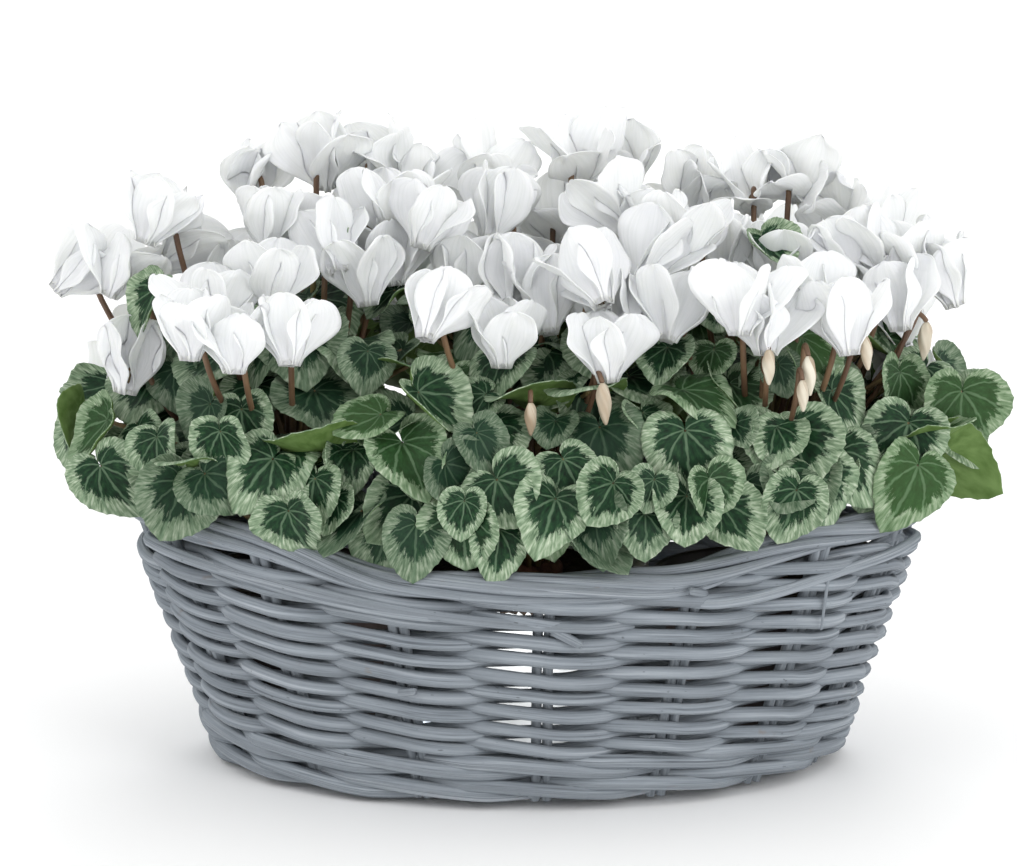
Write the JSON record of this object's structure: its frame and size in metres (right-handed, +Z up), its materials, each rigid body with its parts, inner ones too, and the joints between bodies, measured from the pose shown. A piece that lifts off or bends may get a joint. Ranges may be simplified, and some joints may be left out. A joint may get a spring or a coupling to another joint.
{
  "type": "potted cyclamen",
  "caption": "White-flowered cyclamens with silver-edged heart-shaped leaves, in nursery pots stood in an oval basket of grey-painted willow.",
  "frame": {"origin": "on the floor, under the middle of the basket", "axes": "+Z up, +X along the basket's length, -Y towards its front"},
  "size_m": [0.4646, 0.3476, 0.3122],
  "materials": {
    "willow": "matte, worn grey paint",
    "dark_pot": "satin",
    "white_pot": "satin",
    "compost": "matte, crumbly",
    "corm": "matte, corky",
    "leaf": "satin",
    "flower": "soft matte"
  },
  "bodies": {
    "root": {"base": "willow", "border": "willow", "compost_left": "compost", "compost_middle": "compost", "compost_right": "compost", "corm_left": "corm", "corm_middle": "corm", "corm_right": "corm", "flower_left_1": "flower", "flower_left_2": "flower", "flower_left_3": "flower", "flower_left_4": "flower", "flower_left_5": "flower", "flower_left_6": "flower", "flower_left_7": "flower", "flower_left_8": "flower", "flower_middle_1": "flower", "flower_middle_2": "flower", "flower_middle_3": "flower", "flower_middle_4": "flower", "flower_middle_5": "flower", "flower_middle_6": "flower", "flower_middle_7": "flower", "flower_middle_8": "flower", "flower_right_1": "flower", "flower_right_2": "flower", "flower_right_3": "flower", "flower_right_4": "flower", "flower_right_5": "flower", "flower_right_6": "flower", "flower_right_7": "flower", "flower_right_8": "flower", "foot": "willow", "leaves_left_1": "leaf", "leaves_left_2": "leaf", "leaves_left_3": "leaf", "leaves_left_4": "leaf", "leaves_left_5": "leaf", "leaves_left_6": "leaf", "leaves_middle_1": "leaf", "leaves_middle_2": "leaf", "leaves_middle_3": "leaf", "leaves_middle_4": "leaf", "leaves_middle_5": "leaf", "leaves_middle_6": "leaf", "leaves_right_1": "leaf", "leaves_right_2": "leaf", "leaves_right_3": "leaf", "leaves_right_4": "leaf", "leaves_right_5": "leaf", "leaves_right_6": "leaf", "pot_left": "dark_pot", "pot_middle": "white_pot", "pot_right": "dark_pot", "woven_side": "willow"}
  },
  "joints": []
}
